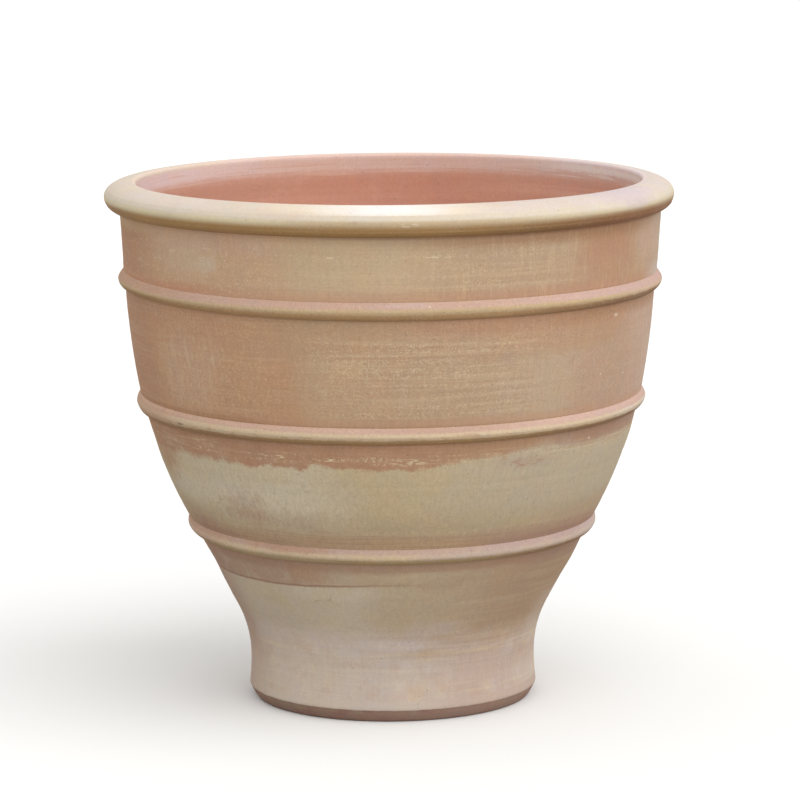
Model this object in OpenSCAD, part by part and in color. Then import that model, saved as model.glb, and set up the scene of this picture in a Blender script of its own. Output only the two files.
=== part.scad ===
// Large terracotta garden pot: a base disc, four thrown wall stages, a rolled
// rim and three raised bands that cover the joints between the stages.
// Millimetres, +Z up, origin at the middle of the underside.

/* [Base disc] */
// Thickness of the base disc, from the ground to the joint above it
base_t = 30; // [24:1:40]
// Diameter of the flat underside that rests on the ground
rest_d = 389; // [350:1:403]
// Diameter of the sharp edge above the bevel
foot_d = 408; // [404:1:430]
// Height of that edge above the ground
foot_edge_h = 18; // [12:1:22]
// Diameter of the drain hole in the middle
drain_d = 38; // [20:1:60]

/* [Foot] */
// Outside diameter at the waist, the narrowest place of the wall
waist_d = 403.2; // [390:0.2:404]
// Height of the waist above the base disc
waist_h = 28; // [18:1:42]
// Radius of the hollow curve from the waist up to the straight wall
neck_r = 170; // [100:5:180]
// Thickness of the wall where it stands on the base disc
foot_t = 30; // [26:1:40]
// Radius of the cove between the wall and the floor inside
cove_r = 24; // [12:1:36]
// Slope at which the cove runs out on the floor, in degrees
cove_run_out = 30; // [20:5:45]

/* [Wall stages] */
// Thickness of the thrown wall
wall_t = 25; // [20:1:30]
// Height of the foot stage, from the base disc to the lower joint
foot_stage_h = 219.5; // [195:0.5:245]
// Height of the middle stage, from the lower joint to the middle joint
middle_stage_h = 177.5; // [140:0.5:220]
// Height of the upper stage, from the middle joint to the upper joint
upper_stage_h = 170; // [130:0.5:210]
// Height of the collar stage, from the upper joint to the rim
collar_stage_h = 99; // [70:0.5:130]
// How far the middle stage widens on each side, from joint to joint
middle_flare = 69.5; // [50:0.5:90]
// How far the upper stage widens on each side, from joint to joint
upper_flare = 23.5; // [14:0.5:34]
// How far the collar stage widens on each side, up to the rim
collar_flare = 6.6; // [2:0.2:12]
// Bulge of the middle stage beyond a straight line between its bands
middle_bulge = 5.5; // [1:0.5:9]
// Bulge of the upper stage beyond a straight line between its bands
upper_bulge = 2.4; // [0.6:0.2:6]
// Bulge of the collar stage beyond a straight line
collar_bulge = 0.6; // [0.2:0.2:3]

/* [Stage joints] */
// Width of the round groove that the next stage sits in
groove_w = 11; // [6:1:14]
// Depth of that groove
groove_depth = 4.5; // [2:0.5:6]

/* [Bands] */
// Height of each band along the wall
band_h = 26; // [20:1:32]
// How far the lower band stands out from the wall
lower_band_out = 8; // [4:0.5:12]
// How far the middle band stands out from the wall
middle_band_out = 9.2; // [4:0.5:12]
// How far the upper band stands out from the wall
upper_band_out = 9; // [4:0.5:12]
// Where the band stands out most, as a share of its height from below
band_peak = 0.52; // [0.3:0.02:0.7]
// Lean of the wall behind the lower band from upright, in degrees
lower_band_lean = 28; // [22:1:32]
// Lean of the wall behind the middle band, in degrees
middle_band_lean = 16; // [10:1:20]
// Lean of the wall behind the upper band, in degrees
upper_band_lean = 7; // [3:1:12]

/* [Rim] */
// Outside diameter of the rolled rim
rim_d = 800; // [780:1:830]
// How far the rim stands out beyond the wall under it
rim_overhang = 20.4; // [14:0.2:28]
// Radius of the tight round lip between the crest and the throat
rim_lip_r = 5.4; // [3:0.2:10]
// Height of the rim, from the wall joint under it to the crest
rim_h = 41; // [34:1:50]

/* [Hidden] */
$fn = 160;

arc_steps = 14;
band_steps = 8;
groove_steps = 8;
clay_light = [0.80, 0.66, 0.52];
clay_mid = [0.74, 0.56, 0.43];
clay_pink = [0.82, 0.66, 0.57];
clay_dark = [0.66, 0.50, 0.38];

// Heights of the joints
lower_z = base_t + foot_stage_h;
middle_z = lower_z + middle_stage_h;
upper_z = middle_z + upper_stage_h;
rim_z = upper_z + collar_stage_h;
crest_z = rim_z + rim_h;
waist_z = base_t + waist_h;

// A place in the wall: outside radius, height, lean from upright and thickness
base_place = [outer_below_waist(base_t), base_t, 0, foot_t];
rim_place = [rim_d / 2 - rim_overhang, rim_z, 0, wall_t];
upper_place = [rim_place[0] - collar_flare, upper_z, upper_band_lean, wall_t];
middle_place = [upper_place[0] - upper_flare, middle_z, middle_band_lean, wall_t];
lower_place = [middle_place[0] - middle_flare, lower_z, lower_band_lean, wall_t];

// Radius of the wall between the sharp foot edge and the waist, a shallow round hollow
function outer_below_waist(z) =
    let (up = (waist_z - z) / (waist_z - foot_edge_h))
    (waist_d + (foot_d - waist_d) * up * up) / 2;

function outer_point(place) = [place[0], place[1]];
function inner_point(place) = [place[0] - place[3] / cos(place[2]), place[1]];

// The ends of a band's seat, half a band above or below its place, along the lean
function seat_end(place, way) =
    outer_point(place) + way * band_h / 2 * [sin(place[2]), cos(place[2])];

// Points from a to b on a shallow arc that bulges to the right of the line
function arc_points(a, b, bulge) =
    let (along = b - a, side = [along[1], -along[0]] / norm(along))
    [for (i = [0 : arc_steps])
        let (s = i / arc_steps) a + along * s + side * bulge * 4 * s * (1 - s)];

// The joint under a piece, from the outside in, with its round tongue pointing down
function joint_points(place) =
    let (out = outer_point(place), in = inner_point(place), mid = (out + in) / 2)
    concat([out],
        [for (i = [0 : groove_steps])
            let (a = 180 * i / groove_steps)
            mid + [cos(a) * groove_w / 2, -sin(a) * groove_depth]],
        [in]);

function reversed(points) = [for (i = [len(points) - 1 : -1 : 0]) points[i]];

// All points but the first, which the outline before it has already reached
function slice_after(points) = [for (i = [1 : len(points) - 1]) points[i]];

// Where the straight wall above the neck touches the neck's curve
neck_centre = [waist_d / 2 + neck_r, waist_z];
neck_reach = seat_end(lower_place, -1) - neck_centre;
neck_turn = atan2(neck_reach[1], neck_reach[0]) + acos(neck_r / norm(neck_reach));
function neck_points(r) =
    [for (i = [0 : arc_steps])
        neck_centre + r * [cos(180 + (neck_turn - 180) * i / arc_steps),
                           sin(180 + (neck_turn - 180) * i / arc_steps)]];

module base_disc() {
    color(clay_dark)
    difference() {
        rotate_extrude()
        polygon(concat([[0, 0], [rest_d / 2, 0]],
            [for (i = [0 : 3])
                let (z = foot_edge_h + (base_t - foot_edge_h) * i / 3)
                [outer_below_waist(z), z]],
            slice_after(joint_points(base_place)),
            [[0, base_t]]));
        translate([0, 0, -1]) cylinder(d = drain_d, h = base_t + 2);
    }
}

module foot_stage() {
    inside = inner_point(base_place);
    thick = foot_t + (wall_t - foot_t) / 2;
    color(clay_light)
    rotate_extrude()
    polygon(concat(
        reversed(joint_points(base_place)),
        [for (i = [1 : 5])
            let (z = base_t + waist_h * i / 6) [outer_below_waist(z), z]],
        neck_points(neck_r),
        [seat_end(lower_place, -1)],
        joint_points(lower_place),
        reversed(neck_points(neck_r + thick)),
        cove_points(inside)));
}

// The cove inside: from upright on the wall, round to a gentle slope on the floor
function cove_points(inside) =
    [for (i = [0 : 6])
        let (a = (90 - cove_run_out) * i / 6)
        [inside[0] - cove_r * (1 - cos(a)), inside[1] + cove_r * (cos(cove_run_out) - sin(a))]];

// A stage between two bands
module thrown_stage(below, above, bulge, top_edge) {
    rotate_extrude()
    polygon(concat(
        reversed(joint_points(below)),
        arc_points(seat_end(below, 1), top_edge, bulge),
        joint_points(above),
        slice_after(arc_points(inner_point(above), inner_point(below), -bulge))));
}

module middle_stage() {
    color(clay_light)
    thrown_stage(lower_place, middle_place, middle_bulge, seat_end(middle_place, -1));
}

module upper_stage() {
    color(clay_mid)
    thrown_stage(middle_place, upper_place, upper_bulge, seat_end(upper_place, -1));
}

module collar_stage() {
    color(clay_mid)
    thrown_stage(upper_place, rim_place, collar_bulge, outer_point(rim_place));
}

// The rim is a fat roll: a round underside, a flatter top and a tight inner lip
module rim_roll() {
    round_z = rim_z + rim_overhang;
    crest_r = inner_point(rim_place)[0] + rim_lip_r;
    color(clay_light)
    rotate_extrude()
    polygon(concat(
        reversed(joint_points(rim_place)),
        [for (i = [1 : arc_steps])
            let (a = -90 + 90 * i / arc_steps)
            [rim_place[0] + rim_overhang * cos(a), round_z + rim_overhang * sin(a)]],
        [for (i = [1 : arc_steps])
            let (a = 90 * i / arc_steps)
            [crest_r + (rim_d / 2 - crest_r) * cos(a), round_z + (crest_z - round_z) * sin(a)]],
        [for (i = [1 : band_steps])
            let (a = 90 + 90 * i / band_steps)
            [crest_r + rim_lip_r * cos(a), crest_z - rim_lip_r * (1 - sin(a))]]));
}

// A band: steep and round below, easing back to the wall above
module band(place, out) {
    foot = seat_end(place, -1);
    top = seat_end(place, 1);
    along = top - foot;
    side = [along[1], -along[0]] / norm(along);
    rotate_extrude()
    polygon(concat(
        [for (i = [0 : band_steps])
            let (a = 90 * i / band_steps)
            foot + along * band_peak * (1 - cos(a)) + side * out * sin(a)],
        [for (i = [1 : band_steps - 1])
            let (s = i / band_steps)
            foot + along * (band_peak + (1 - band_peak) * s) + side * out * cos(90 * s)],
        [top]));
}

module lower_band() {
    color(clay_pink) band(lower_place, lower_band_out);
}

module middle_band() {
    color(clay_pink) band(middle_place, middle_band_out);
}

module upper_band() {
    color(clay_pink) band(upper_place, upper_band_out);
}

base_disc();
foot_stage();
middle_stage();
upper_stage();
collar_stage();
rim_roll();
lower_band();
middle_band();
upper_band();
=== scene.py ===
"""A large banded garden pot of hand-thrown clay, dressed piece by piece over its CAD frame."""

import math
from functools import reduce

import bmesh
import bpy
from mathutils import Matrix, Vector


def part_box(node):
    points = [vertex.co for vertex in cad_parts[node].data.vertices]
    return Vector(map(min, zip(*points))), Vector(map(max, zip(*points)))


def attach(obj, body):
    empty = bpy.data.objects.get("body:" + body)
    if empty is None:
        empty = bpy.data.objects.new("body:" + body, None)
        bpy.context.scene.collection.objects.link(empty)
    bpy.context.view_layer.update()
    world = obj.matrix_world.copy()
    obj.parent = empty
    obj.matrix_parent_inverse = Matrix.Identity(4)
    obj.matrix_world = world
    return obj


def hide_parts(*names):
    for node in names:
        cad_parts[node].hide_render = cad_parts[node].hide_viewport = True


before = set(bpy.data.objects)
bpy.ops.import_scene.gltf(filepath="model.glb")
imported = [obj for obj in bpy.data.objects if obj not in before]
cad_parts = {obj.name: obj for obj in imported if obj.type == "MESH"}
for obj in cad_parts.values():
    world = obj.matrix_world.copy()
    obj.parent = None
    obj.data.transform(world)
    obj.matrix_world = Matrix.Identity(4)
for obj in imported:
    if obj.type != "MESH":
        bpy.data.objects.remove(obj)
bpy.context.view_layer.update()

MM = 0.001

# Heights of the joints, read from the frame
FLOOR_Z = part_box("base_disc")[1].z
LOWER_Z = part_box("foot_stage")[1].z
MIDDLE_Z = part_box("middle_stage")[1].z
UPPER_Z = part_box("upper_stage")[1].z
RIM_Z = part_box("collar_stage")[1].z
CREST_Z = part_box("rim_roll")[1].z

# The rim and the walls, from the outside in
RIM_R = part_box("rim_roll")[1].x
RIM_OVERHANG = 20.4 * MM
RIM_LIP_R = 5.4 * MM
RIM_EASE = 0.5 * MM
CREST_EASE = 0.2 * MM
WALL = 25 * MM
FOOT_WALL = 30 * MM
RIM_JOINT_R = RIM_R - RIM_OVERHANG
UPPER_R = RIM_JOINT_R - 6.6 * MM
MIDDLE_R = UPPER_R - 23.5 * MM
LOWER_R = MIDDLE_R - 69.5 * MM
MIDDLE_BULGE = 5.5 * MM
UPPER_BULGE = 2.4 * MM
COLLAR_BULGE = 0.6 * MM

# The foot
REST_R = 194.5 * MM
EDGE_R = 204 * MM
EDGE_Z = 18 * MM
WAIST_R = 201.6 * MM
WAIST_Z = FLOOR_Z + 28 * MM
NECK_R = 170 * MM
DRAIN_R = 19 * MM
COVE_R = 24 * MM
COVE_RUN_OUT = math.radians(30)
PAINTED_FLOOR_R = 190 * MM
PAINTED_FLOOR_DEPTH = 6 * MM

# The bands
BAND_H = 26 * MM
BAND_PEAK = 0.52
BAND_TOP_STEP = 0.45 * MM
BAND_ROUND = 0.62

# How the clay was worked
AROUND = 240
WELD = 0.02 * MM
RIDGE_DEPTH = 0.07 * MM
INSIDE_RIDGES = 2.0
WOBBLE = 1.6 * MM
SLAB_WOBBLE = 0.8 * MM
SOFT_ANGLE = math.radians(34)


# ---- Outlines of the pieces, as (radius, height) ----

# A place in the wall: outside radius, height, lean from upright and thickness
LOWER = (LOWER_R, LOWER_Z, math.radians(28), WALL)
MIDDLE = (MIDDLE_R, MIDDLE_Z, math.radians(16), WALL)
UPPER = (UPPER_R, UPPER_Z, math.radians(7), WALL)
RIM = (RIM_JOINT_R, RIM_Z, 0.0, WALL)


def on_wall(place, along, out=0.0):
    """A point so far up the wall from a place, and so far out from its face."""
    radius, height, lean, _ = place
    return (
        radius + along * math.sin(lean) + out * math.cos(lean),
        height + along * math.cos(lean) - out * math.sin(lean),
    )


def inner_corner(place):
    radius, height, lean, thick = place
    return (radius - thick / math.cos(lean), height)


def bowed(start, end, bulge, steps):
    """Points from start to end on a shallow arc that bulges to the right of the line."""
    along = (end[0] - start[0], end[1] - start[1])
    length = math.hypot(*along)
    side_way = (along[1] / length, -along[0] / length)
    points = []
    for step in range(steps + 1):
        share = step / steps
        lift = bulge * 4 * share * (1 - share)
        points.append(tuple(start[i] + along[i] * share + side_way[i] * lift for i in (0, 1)))
    return points


def arc(centre, reach, start, end, steps):
    """Points on a round or flattened arc, between two angles in quarter turns."""
    points = []
    for step in range(steps + 1):
        angle = math.pi / 2 * (start + (end - start) * step / steps)
        points.append((centre[0] + reach[0] * math.cos(angle), centre[1] + reach[1] * math.sin(angle)))
    return points


def wheel_ridge(height):
    """How far the potter's fingers left the wall in or out at a height."""
    wave = math.sin(height / (2.1 * MM)) + 0.8 * math.sin(height / (3.4 * MM) + 1.3)
    return RIDGE_DEPTH * wave * math.sin(height / (21 * MM) + 0.6) ** 2


def ridged(points, scale=1.0):
    """The same points, moved a little in or out by the wheel's ridges, with both ends kept."""
    moved = [(r + scale * wheel_ridge(z), z) for r, z in points[1:-1]]
    return [points[0]] + moved + [points[-1]]


def waist_radius(height):
    up_share = (WAIST_Z - height) / (WAIST_Z - EDGE_Z)
    return WAIST_R + (EDGE_R - WAIST_R) * up_share * up_share


def neck(radius, steps):
    """The hollow curve of the foot from the waist up, to where it meets the straight wall."""
    centre = (WAIST_R + NECK_R, WAIST_Z)
    seat = on_wall(LOWER, -BAND_H / 2)
    reach = (seat[0] - centre[0], seat[1] - centre[1])
    turn = math.atan2(reach[1], reach[0]) + math.acos(NECK_R / math.hypot(*reach))
    return arc(centre, (radius, radius), 2, turn / (math.pi / 2), steps)


def base_outline():
    """The slab that the foot was built on, with a worn bevel and a drain hole pushed through."""
    seat = waist_radius(FLOOR_Z)
    return [
        (DRAIN_R + 3 * MM, 0.0),
        (REST_R - 60 * MM, 0.0),
        (REST_R - 4 * MM, 0.0),
        (REST_R - 0.6 * MM, 0.9 * MM),
        (REST_R + 2.2 * MM, 4.6 * MM),
        (REST_R + 5.0 * MM, 9.6 * MM),
        (REST_R + 7.2 * MM, 13.6 * MM),
        (EDGE_R - 1.4 * MM, EDGE_Z - 1.6 * MM),
        (EDGE_R - 0.5 * MM, EDGE_Z - 0.5 * MM),
        (EDGE_R - 0.2 * MM, EDGE_Z + 0.9 * MM),
        (waist_radius(EDGE_Z + 4 * MM), EDGE_Z + 4 * MM),
        (waist_radius(EDGE_Z + 8 * MM), EDGE_Z + 8 * MM),
        (seat, FLOOR_Z),
        (seat - FOOT_WALL, FLOOR_Z),
        (seat - FOOT_WALL - 40 * MM, FLOOR_Z),
        (DRAIN_R + 14 * MM, FLOOR_Z),
        (DRAIN_R + 5 * MM, FLOOR_Z - 0.8 * MM),
        (DRAIN_R + 1.2 * MM, FLOOR_Z - 4 * MM),
        (DRAIN_R, FLOOR_Z - 9 * MM),
        (DRAIN_R, 4 * MM),
        (DRAIN_R + 0.8 * MM, 1.0 * MM),
    ]


def foot_outline():
    """The foot wall: a flat waist, a hollow neck and a cove inside."""
    heights = [FLOOR_Z + (WAIST_Z - FLOOR_Z) / 6 * step for step in range(6)]
    outside = [(waist_radius(height), height) for height in heights] + neck(NECK_R, 56)
    outside += bowed(outside[-1], on_wall(LOWER, -BAND_H / 2), 0.0, 8)[1:]
    outside += bowed(outside[-1], on_wall(LOWER, 0), 0.0, 3)[1:]
    inside = neck(NECK_R + (FOOT_WALL + WALL) / 2, 40)[::-1]
    centre = (waist_radius(FLOOR_Z) - FOOT_WALL - COVE_R, FLOOR_Z + COVE_R * math.cos(COVE_RUN_OUT))
    cove = arc(centre, (COVE_R, -COVE_R), 0, 1 - COVE_RUN_OUT / (math.pi / 2), 8)[1:]
    cove[-1] = (cove[-1][0], FLOOR_Z)
    return ridged(outside) + [inner_corner(LOWER)] + ridged(inside, INSIDE_RIDGES) + cove


def stage_outline(below, above, bulge):
    """A thrown wall between two joints, with an even inside."""
    outside = bowed(on_wall(below, 0), on_wall(below, BAND_H / 2), 0.0, 3)
    top = on_wall(above, -BAND_H / 2)
    outside += bowed(outside[-1], top, bulge, round(math.dist(outside[-1], top) / (2 * MM)))[1:]
    outside += bowed(top, on_wall(above, 0), 0.0, 3)[1:]
    inner_top, inner_low = inner_corner(above), inner_corner(below)
    inside = bowed(inner_top, inner_low, -bulge, round(math.dist(inner_top, inner_low) / (3 * MM)))
    return ridged(outside) + ridged(inside, INSIDE_RIDGES)


def collar_outline():
    """The straight collar, with the small fillet where the rim was turned down over it."""
    outside = bowed(on_wall(UPPER, 0), on_wall(UPPER, BAND_H / 2), 0.0, 3)
    outside += bowed(outside[-1], (RIM_JOINT_R, RIM_Z - 3.4 * MM), -COLLAR_BULGE / 2, 40)[1:]
    fillet = [
        (RIM_JOINT_R + 0.35 * MM, RIM_Z - 2.0 * MM),
        (RIM_JOINT_R + 1.1 * MM, RIM_Z - 0.9 * MM),
        (RIM_JOINT_R + 2.4 * MM, RIM_Z + 0.1 * MM),
    ]
    inside = bowed(inner_corner(RIM), inner_corner(UPPER), -COLLAR_BULGE, 30)
    return ridged(outside) + fillet + ridged(inside, INSIDE_RIDGES)


def rim_outline():
    """The fat roll of the rim: a round underside, a flatter top and a tight inner lip."""
    round_z = RIM_Z + RIM_OVERHANG
    crest_r = inner_corner(RIM)[0] + RIM_LIP_R
    points = arc((RIM_JOINT_R, round_z), (RIM_OVERHANG, RIM_OVERHANG), -1, 0, 22)[1:]
    points += arc((crest_r, round_z), (RIM_R - crest_r, CREST_Z - round_z), 0, 1, 30)[1:]
    points += arc((crest_r, CREST_Z - RIM_LIP_R), (RIM_LIP_R, RIM_LIP_R), 1, 2, 8)[1:]
    points = [(r - RIM_EASE if r > RIM_R - 4 * MM else r, z - CREST_EASE) for r, z in points]
    throat = bowed(points[-1], inner_corner(RIM), 0.0, 10)[1:]
    return [(RIM_JOINT_R + 1.0 * MM, RIM_Z - 0.2 * MM)] + points + throat


def band_outline(place, out, short):
    """A band pressed on over a joint: a straight top face, a round nose and a tucked underside."""
    low, high = -BAND_H / 2, BAND_H / 2
    peak = low + BAND_H * BAND_PEAK
    face = [on_wall(place, low - 0.9 * MM, -0.4 * MM), on_wall(place, low - 0.2 * MM, 0.15 * MM)]
    for step in range(1, 15):
        angle = math.pi / 2 * step / 14
        face.append(on_wall(place, low + (peak - low) * (1 - math.cos(angle)), out * math.sin(angle)))
    top = high - short
    for step in range(1, 15):
        share = step / 15
        lift = BAND_ROUND * math.cos(math.pi / 2 * share) + (1 - BAND_ROUND) * (1 - share)
        stand = BAND_TOP_STEP + (out - BAND_TOP_STEP) * lift
        face.append(on_wall(place, peak + (top - peak) * share, stand))
    face += [on_wall(place, top + 0.35 * MM, 0.3 * MM), on_wall(place, top + 0.7 * MM, -0.4 * MM)]
    return face + [on_wall(place, high, -2 * MM), on_wall(place, low, -2 * MM)]


# ---- Making the pieces ----


def select_none():
    for chosen in bpy.context.selected_objects:
        chosen.select_set(False)


def lay_plane(name, size, middle):
    """A new plane round this middle, with its origin at the origin of the scene."""
    select_none()
    bpy.ops.mesh.primitive_plane_add(size=size, location=middle)
    plane = bpy.context.object
    plane.name = plane.data.name = name
    bpy.ops.object.transform_apply(location=True, rotation=False, scale=False)
    return plane


def throw_on_wheel(name, outline):
    """Draws the outline from a point, then spins it once round the axis."""
    start = outline[0]
    piece = lay_plane(name, 1 * MM, (start[0], 0, start[1]))
    bpy.ops.object.mode_set(mode="EDIT")
    bpy.ops.mesh.select_all(action="SELECT")
    bpy.ops.mesh.merge(type="CENTER")
    here = start
    for point in outline[1:] + [start]:
        step = (point[0] - here[0], 0, point[1] - here[1])
        bpy.ops.mesh.extrude_region_move(TRANSFORM_OT_translate={"value": step})
        here = point
    bpy.ops.mesh.select_all(action="SELECT")
    bpy.ops.mesh.remove_doubles(threshold=WELD)
    bpy.ops.mesh.spin(steps=AROUND, angle=2 * math.pi, center=(0, 0, 0), axis=(0, 0, 1))
    bpy.ops.mesh.select_all(action="SELECT")
    bpy.ops.mesh.remove_doubles(threshold=WELD)
    bpy.ops.mesh.normals_make_consistent(inside=False)
    bpy.ops.object.mode_set(mode="OBJECT")
    return piece


# Wide soft waves, one texture for each way that the clay was pushed
HAND = {}
for axis, size in (("X", 0.30), ("Y", 0.36)):
    HAND[axis] = bpy.data.textures.new("hand_wobble_" + axis.lower(), type="CLOUDS")
    HAND[axis].noise_scale = size
    HAND[axis].noise_depth = 1


def press_by_hand(piece, amount):
    """Takes the piece a little out of true, the same way wherever two pieces meet."""
    for axis, texture in HAND.items():
        wobble = piece.modifiers.new("wobble_" + axis.lower(), "DISPLACE")
        wobble.texture = texture
        wobble.texture_coords = "LOCAL"
        wobble.direction = axis
        wobble.mid_level = 0.5
        wobble.strength = amount
        bpy.ops.object.modifier_apply(modifier=wobble.name)


def each_point(piece, move):
    """Lets a function move every point of the piece, in edit mode."""
    bpy.ops.object.mode_set(mode="EDIT")
    shape = bmesh.from_edit_mesh(piece.data)
    for point in shape.verts:
        move(point.co)
    bmesh.update_edit_mesh(piece.data)
    bpy.ops.object.mode_set(mode="OBJECT")


# How far the wall wandered to the right on the wheel, by height, in millimetres
WANDER = [(0, 0), (150, -0.3), (172, 0.4), (200, 2.2), (235, 1.0), (300, 0.9), (345, 1.0), (378, 1.8)]
WANDER += [(410, 1.0), (480, 0.7), (565, 0.8), (600, 1.2), (640, 2.1), (690, 2.4), (714, 0.4), (740, 0.0)]


def look_up(table, height):
    """What a table says just below and just above a height, and how far between them it lies."""
    low, high = next(pair for pair in zip(table, table[1:]) if height <= pair[1][0])
    return low[1], high[1], (height - low[0]) / (high[0] - low[0])


def set_out_of_true(point):
    """Moves a point sideways by as much as the wall wandered at its height."""
    low, high, share = look_up(WANDER, point.z / MM)
    point.x += (low + (high - low) * (1 - math.cos(math.pi * share)) / 2) * MM


def squeeze(place, above, azimuth, low, high, reach):
    """Pushes a band up on one side, its underside and its top by different amounts."""

    def move(point):
        angle = math.degrees(math.atan2(point.x, -point.y)) - azimuth
        angle = (angle + 180) % 360 - 180
        depth = min(1.0, max(0.0, (place[1] + 3 * MM - point.z) / (BAND_H / 2)))
        rise = (low * depth + high * (1 - depth)) * MM * math.exp(-((angle / reach) ** 2))
        lean = place[2] * depth + above * (1 - depth)
        wider = 1 + rise * math.sin(lean) / math.hypot(point.x, point.y)
        point.z += rise * math.cos(lean)
        point.x *= wider
        point.y *= wider

    return move


def looks_in(normal, middle):
    """Whether a face of a wall looks into the pot."""
    return normal.x * middle.x + normal.y * middle.y < 0


def on_floor(normal, middle):
    """Whether a face of the slab is part of the floor inside."""
    return middle.z > FLOOR_Z - PAINTED_FLOOR_DEPTH and math.hypot(middle.x, middle.y) < PAINTED_FLOOR_R


def paint_inside(piece, material, is_inside):
    """Gives a second finish to the faces of a piece that look into the pot."""
    piece.data.materials.append(material)
    bpy.ops.object.mode_set(mode="EDIT")
    bpy.ops.mesh.select_all(action="DESELECT")
    shape = bmesh.from_edit_mesh(piece.data)
    for face in shape.faces:
        face.select_set(is_inside(face.normal, face.calc_center_median()))
    bmesh.update_edit_mesh(piece.data)
    piece.active_material_index = len(piece.data.materials) - 1
    bpy.ops.object.material_slot_assign()
    bpy.ops.mesh.select_all(action="DESELECT")
    bpy.ops.object.mode_set(mode="OBJECT")


def dress(node, name, outline, material, slot, wobble=WOBBLE):
    """Makes one piece, and lets it stand for its CAD node."""
    piece = throw_on_wheel(name, outline)
    press_by_hand(piece, wobble)
    each_point(piece, set_out_of_true)
    bpy.ops.object.shade_smooth_by_angle(angle=SOFT_ANGLE)
    piece.data.materials.append(material)
    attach(piece, "root")
    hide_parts(node)
    return piece


# ---- Colours of the clay, and of painted shade and highlights on it, as they look in plain light ----


def clay(*shown):
    """A colour written as it looks, from 0 to 255, as the shader wants it."""
    return tuple(((value / 255 + 0.055) / 1.055) ** 2.4 for value in shown) + (1.0,)


OCHRE = clay(188, 164, 135)
OCHRE_RIGHT = clay(177, 151, 125)
OCHRE_LEFT = clay(188, 155, 126)
OCHRE_LIGHT = clay(195, 164, 131)
TAN = clay(180, 152, 124)
TAN_GREY = clay(178, 156, 132)
TAN_DARK = clay(173, 143, 115)
UPPER_BROWN = clay(165, 138, 115)
UPPER_MAUVE = clay(187, 163, 150)
SANDY_ORANGE = clay(181, 142, 112)
ORANGE_TAN = clay(182, 142, 116)
ORANGE_BROWN = clay(173, 133, 107)
ORANGE_DARK = clay(160, 122, 92)
RED_BROWN = clay(142, 100, 82)
BRICK = clay(174, 134, 108)
PINK_TAN = clay(182, 153, 134)
PINK_BROWN = clay(166, 136, 120)
DUSTY_BROWN = clay(166, 132, 113)
KHAKI = clay(190, 173, 142)
KHAKI_PALE = clay(202, 191, 169)
KHAKI_RIGHT = clay(184, 170, 147)
KHAKI_LOW = clay(180, 161, 131)
BUFF = clay(189, 175, 163)
BUFF_LEFT = clay(196, 181, 166)
BUFF_RIGHT = clay(182, 162, 149)
BUFF_EDGE = clay(182, 160, 145)
BUFF_KHAKI = clay(190, 174, 149)
FOOT_TAN = clay(169, 143, 119)
FOOT_PALE = clay(195, 182, 161)
CREAM = clay(216, 200, 166)
SPECK = clay(208, 188, 156)
BLOOM = clay(193, 165, 140)
BLOOM_PINK = clay(186, 156, 138)
BLOOM_GREY = clay(191, 164, 144)
RIM_LEFT = clay(205, 193, 163)
RIM_FRONT = clay(189, 169, 139)
RIM_RIGHT = clay(196, 182, 155)
RIM_TOP = clay(200, 188, 170)
RIM_CREST = clay(195, 181, 166)
RIM_ROSY = clay(197, 183, 174)
RIM_HIGHLIGHT_WHITE = clay(222, 216, 211)
LAVENDER = clay(190, 175, 176)
RIM_HIGHLIGHT_CREAM = clay(214, 200, 178)
RIM_SHADE = clay(200, 184, 163)
RIM_UNDER = clay(163, 129, 85)
RIM_UNDER_RIGHT = clay(137, 103, 70)
RIM_UNDER_RED_SHADE = clay(134, 93, 66)
BAND_PINK = clay(184, 153, 137)
BAND_PINK_LEFT = clay(179, 145, 123)
BAND_PINK_RIGHT = clay(185, 155, 145)
BAND_MAUVE = clay(179, 153, 141)
BAND_MAUVE_RIGHT = clay(176, 152, 145)
BAND_KHAKI = clay(192, 171, 144)
BAND_GOLD = clay(180, 156, 123)
BAND_UNDER = clay(170, 137, 100)
BAND_UNDER_SHADE = clay(142, 110, 82)
SALMON = clay(188, 136, 114)
SALMON_DARK = clay(178, 120, 98)
SALMON_RIGHT = clay(209, 163, 142)
SALMON_LEFT = clay(178, 132, 112)
INSIDE_DUSTY = clay(204, 176, 164)
INSIDE_PALE = clay(212, 190, 182)
ROSE_GREY = clay(208, 196, 196)
INSIDE_BLOOM = clay(229, 225, 219)
INSIDE_LEFT = clay(209, 186, 183)
SALMON_LOW = clay(196, 145, 124)
BLUSH = clay(202, 160, 142)
ROSE_PALE = clay(200, 168, 148)
PINK_SAND = clay(174, 145, 124)
ORANGE_BLUSH = clay(185, 137, 109)
KHAKI_BROWN = clay(168, 146, 112)
GOLD_BROWN = clay(161, 130, 93)
BEVEL_BROWN = clay(154, 127, 113)
BEVEL_RED = clay(150, 112, 104)
BEVEL_KHAKI = clay(158, 138, 114)
DARK_CLAY_AND_SHADE = clay(104, 80, 66)
LIME = clay(226, 216, 200)


# ---- Shader nodes ----

NOWHERE = (0.0, 0.0, 0.0)
BUMP = 0.25
BUMP_DEPTH = 0.5 * MM
SHEEN = 0.25


def feed(socket, value):
    """Sets a socket to a plain value, or wires another socket into it."""
    if isinstance(value, bpy.types.NodeSocket):
        socket.id_data.links.new(value, socket)
    else:
        socket.default_value = value


def add_node(tree, kind, wires, **settings):
    made = tree.nodes.new("ShaderNode" + kind)
    for name, value in settings.items():
        setattr(made, name, value)
    for socket, value in wires.items():
        feed(made.inputs[socket], value)
    return made


def wired(kind, wires, **settings):
    """A new node, in the tree that the sockets wired into it belong to."""
    tree = next(value.id_data for value in wires.values() if isinstance(value, bpy.types.NodeSocket))
    return add_node(tree, kind, wires, **settings)


def maths(operation, first, second=0.0, clamp=False):
    return wired("Math", {0: first, 1: second}, operation=operation, use_clamp=clamp).outputs[0]


def plus(first, second, clamp=False):
    return maths("ADD", first, second, clamp)


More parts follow.
